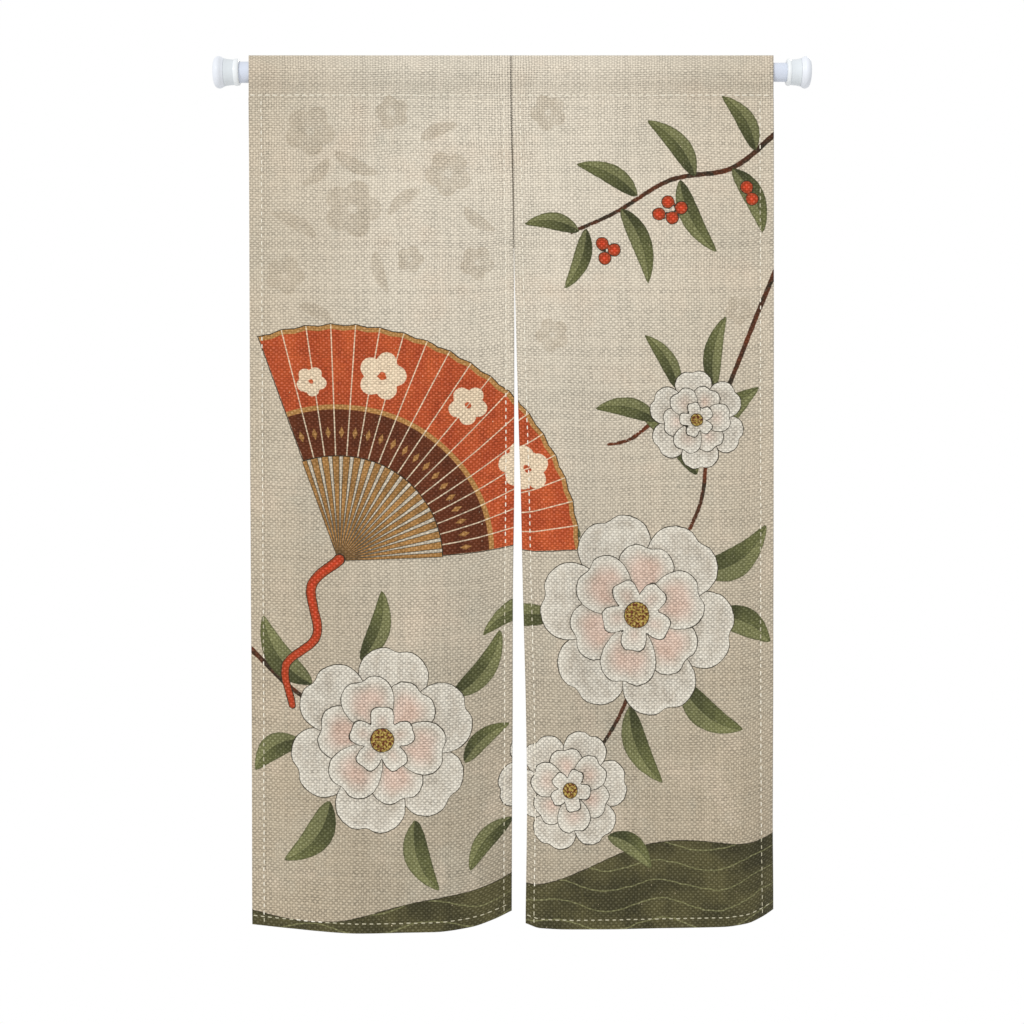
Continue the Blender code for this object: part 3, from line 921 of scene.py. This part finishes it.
def sewn_marks(p, a, b, from_middle, hem_line, below_pocket):
    """How far the stitches pull the cloth in, and the shade at stitches, hems, edges and seam."""
    side_pull = p.mul(p.smooth(p.size(p.add(hem_line, STITCH_INSET)), 0.0030, 0.0), below_pocket)
    row_pull = p.smooth(p.size(p.sub(b, STITCH_PATH)), 0.0032, 0.0)
    hem_shade = p.mul(p.smooth(p.size(p.sub(hem_line, 0.0017)), 0.0021, 0.0004, 0.11), below_pocket)
    under_row = p.sub(b, STITCH_PATH)
    row_shade = p.smooth(under_row, 0.0095, 0.0030, p.smooth(under_row, 0.0006, 0.0018, 0.09))
    edge_shade = p.smooth(p.both(a, p.sub(PANEL_WIDTH, a)), 0.0013, 0.0, 0.12)
    from_seam = p.mad(p.smooth(b, SEAM_PATH, SEAM_PATH + 0.01), 0.01, from_middle)
    edge_shade = p.either(edge_shade, p.smooth(from_seam, 0.0019, 0.0006, 0.42))
    return p.either(side_pull, row_pull), p.add(p.either(hem_shade, row_shade), edge_shade)


def cloth_material():
    """Coarse plain weave with the print dyed into it."""
    p = Painter("printed_cloth")
    u, v, inner_face = p.split(p.attribute("print_place"))
    a, b, hem_field = p.split(p.attribute("cloth_place"))
    fields = {}
    for number, names in enumerate(FIELD_GROUPS):
        fields.update(zip(names, p.split(p.attribute(f"field_{number}"))))

    from_middle = p.size(u)
    hem_line = p.both(hem_field, p.sub(HEM_PATH - BOTTOM_HEM, b))
    below_pocket = p.smooth(b, POCKET_PATH - 0.004, POCKET_PATH + 0.002)
    crossing, relief, shade, fuzz, each_crossing = weave(p, a, b, from_middle)
    pull, sewn_shade = sewn_marks(p, a, b, from_middle, hem_line, below_pocket)
    shade = p.sub(shade, sewn_shade)

    # The raised crossings are paler: bare fibre shows through the ink, and a painted highlight lies on
    # the yarn tops, less where the ink is dark
    printed = paint_print(p, u, v, fields)
    fibre_and_highlight = p.mul(p.smooth(crossing, 0.1, 1.0), p.mad(each_crossing, 0.08, 0.09))
    fibre_and_highlight = p.mul(fibre_and_highlight, p.smooth(p.grey(printed), -0.15, 0.35))
    colour = p.mix(fibre_and_highlight, printed, FIBRE_HIGHLIGHT)
    # The colour takes the weave's painted light and shade, each yarn's own tone and the painted shade of
    # the sewn marks
    colour = p.mix(1.0, colour, p.join(shade, shade, shade), "MULTIPLY")

    # The back shows the print through the cloth, paler, but not through the hems' two layers
    in_hem = p.mul(p.smooth(hem_line, 0.0014, -0.0004), below_pocket)
    # A painted shadow line darkens the back along each hem's inner edge
    hem_edge_shadow = p.mul(p.smooth(p.size(p.sub(hem_line, 0.0006)), 0.0012, 0.0003), below_pocket)
    back_shade = p.mad(hem_edge_shadow, -0.22, shade)
    plain = p.mix(1.0, GROUND_TOP, p.join(back_shade, back_shade, back_shade), "MULTIPLY")
    behind_rod = p.smooth(b, 0.0, -0.008)
    unprinted = p.mul(inner_face, p.mad(in_hem, 0.40, 0.55))
    colour = p.mix(p.either(unprinted, behind_rod), colour, plain)

    yarns = p.bump(p.mad(fuzz, 0.5, p.mul(relief, 1.6)), 0.0006, 0.7)
    normal = p.bump(p.sub(p.mul(in_hem, 0.5), pull), 0.0006, 0.8, Normal=yarns)
    p.fill(p.shader, Base_Color=colour, Roughness=0.92, Specular_IOR_Level=0.2, Normal=normal,
           Sheen_Weight=0.06, Sheen_Roughness=0.5)
    return p.material


def darker(colour, share=0.6):
    return tuple(value * share for value in colour[:3]) + (1.0,)


def thread_material(name, thread):
    p = Painter(name)
    along, around, inked = p.split(p.attribute("thread_place"))
    strand = p.bounce(p.mad(along, THREAD_TWIST, around), 1.0)
    colour = p.mix(inked, thread, INKED_THREAD)
    colour = p.mix(p.mul(strand, 0.10), colour, INK)
    p.fill(p.shader, Base_Color=colour, Roughness=0.7, Normal=p.bump(strand, 0.0002, 0.3))
    return p.material


def rod_material(name, colour, roughness, coat, grain):
    """Smooth white finish with a faint unevenness and slightly rubbed, duller patches."""
    p = Painter(name)
    place = p.node("TexCoord").outputs["Object"]
    soft = p.noise(place, 35.0, 3.0, 0.6)
    fine = p.noise(place, grain, 2.0, 0.5)
    tint = p.fade(soft, 0.3, 0.75, colour, darker(colour, 0.93))
    dull = p.add(roughness, p.mul(p.sub(soft, 0.5), 0.15))
    p.fill(p.shader, Base_Color=tint, Roughness=dull, Coat_Weight=coat, Coat_Roughness=0.15)
    p.fill(p.shader, Normal=p.bump(fine, 0.00012, 0.35))
    return p.material


def stitch_rows(side):
    """Every stitch of a panel as (share, path, share, path, radius, depth of its middle)."""
    left_hem, right_hem = SIDE_HEMS[side]
    width = PANEL_WIDTH
    proud = (THREAD_RADIUS, -STITCH_LIFT)
    stitches = []
    starts = np.arange(POCKET_PATH + 0.004, HEM_PATH - STITCH_LENGTH - 0.001, STITCH_PITCH)
    for a in (left_hem - STITCH_INSET, width - right_hem + STITCH_INSET):
        share = a / width
        stitches += [(share, start, share, start + STITCH_LENGTH, *proud) for start in starts]
    level = HEM_PATH - BOTTOM_HEM + STITCH_INSET
    starts = np.arange(0.0018, width - 0.006, STITCH_PITCH)
    rows = ((STITCH_PATH, ROW_STITCH_LENGTH), (-STITCH_PATH, STITCH_LENGTH), (level, STITCH_LENGTH))
    for path, length in rows:
        ends = np.minimum(starts + length, width - 0.002)
        stitches += [(s / width, path, e / width, path, *proud) for s, e in zip(starts, ends)]
    if side == "left":
        reach = SEAM_REACH / width
        stitches += [(1.0 - reach, path, 1.0 + reach, path + 0.0003, SEAM_THREAD_RADIUS, SEAM_DEPTH)
                     for path in np.arange(-POCKET_PATH + 0.002, SEAM_PATH, SEAM_PITCH)]
    return stitches


def ink_under(side, rows):
    """1 for each stitch that lies on the dark parts of the print, whose ink it has taken on."""
    share0, path0, share1, path1, _, depth = np.array(rows).T
    across = (share0 + share1) / 2 - (1.0 if side == "left" else 0.0)
    fields = print_fields(across * PANEL_WIDTH, (path0 + path1) / 2)
    dark = np.min([fields[name] for name in ("hill", "leaf_0", "leaf_1")], axis=0)
    return ((dark < 0.0) & (depth < 0.0)).astype(float)


def stitch_faces(first):
    """Faces of one stitch from its first point: rings of quads and a cap at each end."""
    faces = []
    for low in range(first, first + (STITCH_RINGS - 1) * STITCH_SIDES, STITCH_SIDES):
        for s in range(STITCH_SIDES):
            t = (s + 1) % STITCH_SIDES
            faces.append((low + s, low + t, low + STITCH_SIDES + t, low + STITCH_SIDES + s))
    last = first + (STITCH_RINGS - 1) * STITCH_SIDES
    faces.append(tuple(range(first, first + STITCH_SIDES))[::-1])
    faces.append(tuple(range(last, last + STITCH_SIDES)))
    return faces


def build_stitches(side, sheet, thread, shaded_seam_thread):
    """All stitches of a panel on its front, and those of its hems on the back, as one mesh."""
    rows = stitch_rows(side)
    ink = ink_under(side, rows)
    along = np.linspace(-1.0, 1.0, STITCH_RINGS)
    bulge = np.sqrt(np.maximum(1.0 - along ** 4, 0.0))
    bulge[[0, -1]] = STITCH_END_WIDTH
    angles = 2 * pi * np.arange(STITCH_SIDES) / STITCH_SIDES
    points, faces, places, in_seam_faces = [], [], [], []
    wobble = np.random.default_rng(7 if side == "left" else 11)
    for on_back in (False, True):
        for (share0, path0, share1, path1, radius, depth), inked in zip(rows, ink):
            in_seam = depth > 0.0
            if on_back and (path0 < POCKET_PATH or in_seam):
                continue
            mid_share, mid_path = (share0 + share1) / 2, (path0 + path1) / 2
            ends = sheet.face(np.array([share0, share1]), np.array([path0, path1]))
            inward = sheet.normal(np.array([mid_share]), np.array([mid_path]))[0]
            if abs(mid_path) == STITCH_PATH:
                inward = np.array([0.0, np.sign(mid_path), 0.0])
            centre = ends.mean(axis=0)
            if on_back:
                centre = centre + inward * (CLOTH + HEM_EXTRA)
                inward = -inward
            axis = ends[1] - ends[0]
            half = np.linalg.norm(axis) / 2
            axis = axis / np.linalg.norm(axis)
            side_way = np.cross(axis, inward)
            sink = np.full(STITCH_RINGS, depth)
            if not in_seam:
                half *= wobble.uniform(*STITCH_STRETCH)
                centre = centre + side_way * wobble.uniform(-STITCH_SHIFT, STITCH_SHIFT)
                sink = depth + STITCH_END_SINK * along ** 4
            middles = centre + np.outer(half * along, axis) + np.outer(sink, inward)
            spokes = np.outer(np.cos(angles), side_way) - FLATTENED * np.outer(np.sin(angles), inward)
            rings = middles[:, None] + radius * bulge[:, None, None] * spokes
            faces += stitch_faces(len(points))
            in_seam_faces += [in_seam] * (len(faces) - len(in_seam_faces))
            points += rings.reshape(-1, 3).tolist()
            places += [(half * way, angle / pi, inked) for way in along for angle in angles]
    mesh = bpy.data.meshes.new(side + "_stitches")
    mesh.from_pydata(points, [], faces)
    put_attribute(mesh, "thread_place", *np.array(places).T)
    mesh.validate()
    mesh.shade_smooth()
    mesh.materials.append(thread)
    mesh.materials.append(shaded_seam_thread)
    mesh.polygons.foreach_set("material_index", np.array(in_seam_faces, np.int32))
    return add_object(side + "_stitches", mesh)


def turned_piece(name, profile, closed, material, start, turned=False):
    """Fine body of revolution about X from (x, radius) points, as a smooth mesh."""
    way = -1.0 if turned else 1.0
    angles = 2 * pi * np.arange(ROUND_SIDES) / ROUND_SIDES
    points, rings = [], []
    for x, radius in profile:
        # On the axis a ring is one point
        spread = angles if radius > 0.0 else angles[:1]
        rings.append([len(points) + k % len(spread) for k in range(ROUND_SIDES)])
        points += [(start + way * x, way * radius * sin(t), radius * cos(t)) for t in spread]
    following = rings[1:] + rings[:1] if closed else rings[1:]
    faces = [tuple(dict.fromkeys((ring[k], ring[k - 1], after[k - 1], after[k])))
             for ring, after in zip(rings, following) for k in range(ROUND_SIDES)]
    mesh = bpy.data.meshes.new(name)
    mesh.from_pydata(points, [], faces)
    mesh.shade_smooth()
    mesh.set_sharp_from_angle(angle=radians(SHARP_ANGLE))
    mesh.materials.append(material)
    return add_object(name, mesh)


def rounded(points, steps=5):
    """A finer profile: a smooth curve through a turned outline's points."""
    return curve_through(points, (len(points) - 1) * steps + 1).tolist()


# Sizes of the end fittings, inwards from the wall face
FITTINGS = {
    "left": {"foot": 0.0170, "sleeve": 0.0160, "bead": 0.0088, "tube": "outer"},
    "right": {"foot": 0.0160, "sleeve": 0.0165, "bead": 0.0065, "tube": "inner"},
}
SPIGOT_LENGTH = 0.025
FOOT_GROOVES = ((0.006, 0.009), (0.0125, 0.0155))
GROOVE_DEPTH = 0.0007
GROOVE_SLOPE = 0.0005
BEAD_RADIUS = 0.0217
FOOT_OUTLINE = (
    (0.00, 0.0185), (0.07, 0.0218), (0.20, 0.0241), (0.38, 0.0256),
    (0.55, 0.0258), (0.70, 0.0249), (0.84, 0.0235), (1.00, 0.0223),
)
SLEEVE_OUTLINE = ((0.00, 0.0222), (0.10, 0.0219), (0.45, 0.0209), (0.98, 0.0202))


def build_tubes():
    """The two tubes, each a ring of wall with small bevels at its lips."""
    finish = rod_material("coated_tube", srgb(220, 227, 241), 0.32, 0.3, 900.0)
    start = FITTINGS["left"]["foot"] + GAP
    end = ROD_LENGTH - FITTINGS["right"]["foot"] - GAP
    for which, low, high in (("outer", start, OUTER_TUBE_END), ("inner", INNER_TUBE_START, end)):
        radius = TUBE_RADIUS[which]
        bore, lip = radius - TUBE_WALL, TUBE_LIP
        profile = ((low, bore + lip), (low, radius - lip), (low + lip, radius), (high - lip, radius),
                   (high, radius - lip), (high, bore + lip), (high - lip, bore), (low + lip, bore))
        name = f"rod_{which}_tube"
        dress(turned_piece(name + "_fine", profile, True, finish, 0.0), "rod_tube", name)


def foot_profile(foot, tube):
    """A foot from the middle of its ringed wall face, round its outside, to its spigot's end."""
    spigot = tube - TUBE_WALL - GAP
    wall_face = [(0.0, 0.0)]
    for low, high in FOOT_GROOVES:
        wall_face += [(0.0, low), (GROOVE_DEPTH, low + GROOVE_SLOPE)]
        wall_face += [(GROOVE_DEPTH, high - GROOVE_SLOPE), (0.0, high)]
    outside = rounded([(share * foot, radius) for share, radius in FOOT_OUTLINE])
    end = foot + SPIGOT_LENGTH
    return wall_face + outside + [(foot, spigot), (end, spigot), (end, 0.0)]


def sleeve_profile(low, length, bead, tube):
    """A sleeve from its bore at the foot, along its outside and over its bead."""
    start, half = low + length, bead / 2
    middle = start + half
    base, inner = SLEEVE_OUTLINE[-1][1], tube + 0.0010
    rise = [(middle - half * cos(t), base + (BEAD_RADIUS - base) * sin(t) ** 0.6)
            for t in np.linspace(0.0, pi / 2, 9)]
    fall = [(middle - half * cos(t), inner + (BEAD_RADIUS - inner) * sin(t) ** 0.7)
            for t in np.linspace(pi / 2, pi, 12)[1:]]
    outside = rounded([(low + share * length, radius) for share, radius in SLEEVE_OUTLINE])
    return [(low, tube + GAP)] + outside + rise + fall + [(start + bead, tube + GAP)]


def build_rod():
    """Tubes, sleeves and feet, finer than the solids they replace."""
    build_tubes()
    sleeve_finish = rod_material("moulded_sleeve", srgb(228, 234, 238), 0.38, 0.2, 1400.0)
    # The bead's paler colour paints the highlight along it; its low roughness and coat are its gloss
    bead_gloss_and_highlight = rod_material("polished_bead_painted_highlight", srgb(248, 252, 254), 0.20, 0.4, 1400.0)
    foot_finish = rod_material("soft_foot", srgb(237, 241, 248), 0.5, 0.0, 1800.0)
    for side, sizes in FITTINGS.items():
        foot, length, bead = sizes["foot"], sizes["sleeve"], sizes["bead"]
        tube = TUBE_RADIUS[sizes["tube"]]
        turned = side == "right"
        place = ROD_LENGTH if turned else 0.0
        profile = foot_profile(foot, tube)
        piece = turned_piece(side + "_foot_fine", profile, False, foot_finish, place, turned)
        dress(piece, "rod_foot", side + "_foot")
        profile = sleeve_profile(foot + GAP, length, bead, tube)
        piece = turned_piece(side + "_sleeve_fine", profile, True, sleeve_finish, place, turned)
        bead_start = foot + GAP + length
        ends = sorted(abs(place - x) for x in (bead_start, bead_start + bead))
        gloss_and_highlight_bead(piece, *ends, bead_gloss_and_highlight)
        dress(piece, "rod_sleeve", side + "_sleeve")


def gloss_and_highlight_bead(piece, low, high, finish):
    """The bead at a sleeve's inner end is glossier than the rest, and its paler colour is a painted
    highlight.
    """
    piece.data.materials.append(finish)
    for polygon in piece.data.polygons:
        if low < polygon.center.x < high:
            polygon.material_index = 1


def dress(piece, slot, *nodes):
    """A piece that stands for CAD nodes and rides with the part."""
    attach(piece, "root")
    if nodes:
        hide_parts(*nodes)


def build_curtain():
    printed = cloth_material()
    threads = thread_material("stitch_thread", THREAD), thread_material("shaded_seam_thread", SHADED_SEAM_THREAD)
    for side in ("left", "right"):
        panel, sheet = build_panel(side)
        panel.data.materials.append(printed)
        dress(panel, "cloth", side + "_panel")
        stitches = build_stitches(side, sheet, *threads)
        dress(stitches, "cloth")


def build_camera():
    data = bpy.data.cameras.new("camera")
    data.sensor_width = 36.0
    data.lens = data.sensor_width * CAMERA_DISTANCE / (PHOTO_SIZE * PIXEL)
    camera = add_object("camera", data)
    camera.location = (CAMERA_X, -CAMERA_DISTANCE, CAMERA_Z)
    camera.rotation_euler = (pi / 2, 0.0, 0.0)
    bpy.context.scene.camera = camera


def sun_light(name, turn, height, strength, softness):
    """A soft distant light: turn is degrees from the camera's side, + to the right."""
    data = bpy.data.lights.new(name, "SUN")
    data.energy = strength
    data.angle = radians(softness)
    light = add_object(name, data)
    turn, height = radians(turn), radians(height)
    source = Vector((sin(turn) * cos(height), -cos(turn) * cos(height), sin(height)))
    light.location = Vector((CAMERA_X, 0.0, -0.7)) + 4.0 * source
    light.rotation_euler = source.to_track_quat("Z", "Y").to_euler()


def build_stage():
    """Pale round floor, white surroundings and soft lights."""
    bpy.ops.mesh.primitive_circle_add(vertices=96, radius=FLOOR_RADIUS, fill_type="NGON",
                                      location=(CAMERA_X, 0.0, -FLOOR_DROP))
    floor = bpy.context.object
    floor.name = "floor"
    p = Painter("floor")
    p.fill(p.shader, Base_Color=(0.93, 0.93, 0.93, 1.0), Roughness=0.9)
    floor.data.materials.append(p.material)

    world = bpy.data.worlds.new("studio")
    world.use_nodes = True
    tree = world.node_tree
    background = tree.nodes["Background"]
    seen = tree.nodes.new("ShaderNodeLightPath").outputs["Is Camera Ray"]
    strength = tree.nodes.new("ShaderNodeMapRange")
    strength.inputs["To Min"].default_value = SURROUND_LIGHT
    strength.inputs["To Max"].default_value = 1.0
    tree.links.new(seen, strength.inputs["Value"])
    tree.links.new(strength.outputs["Result"], background.inputs["Strength"])
    background.inputs["Color"].default_value = (1.0, 1.0, 1.0, 1.0)
    bpy.context.scene.world = world
    bpy.context.scene.view_settings.view_transform = "Standard"

    sun_light("key", -35.0, 20.0, 1.25, 14.0)
    sun_light("back", 155.0, 30.0, 0.90, 20.0)


build_camera()
build_stage()
build_rod()
build_curtain()
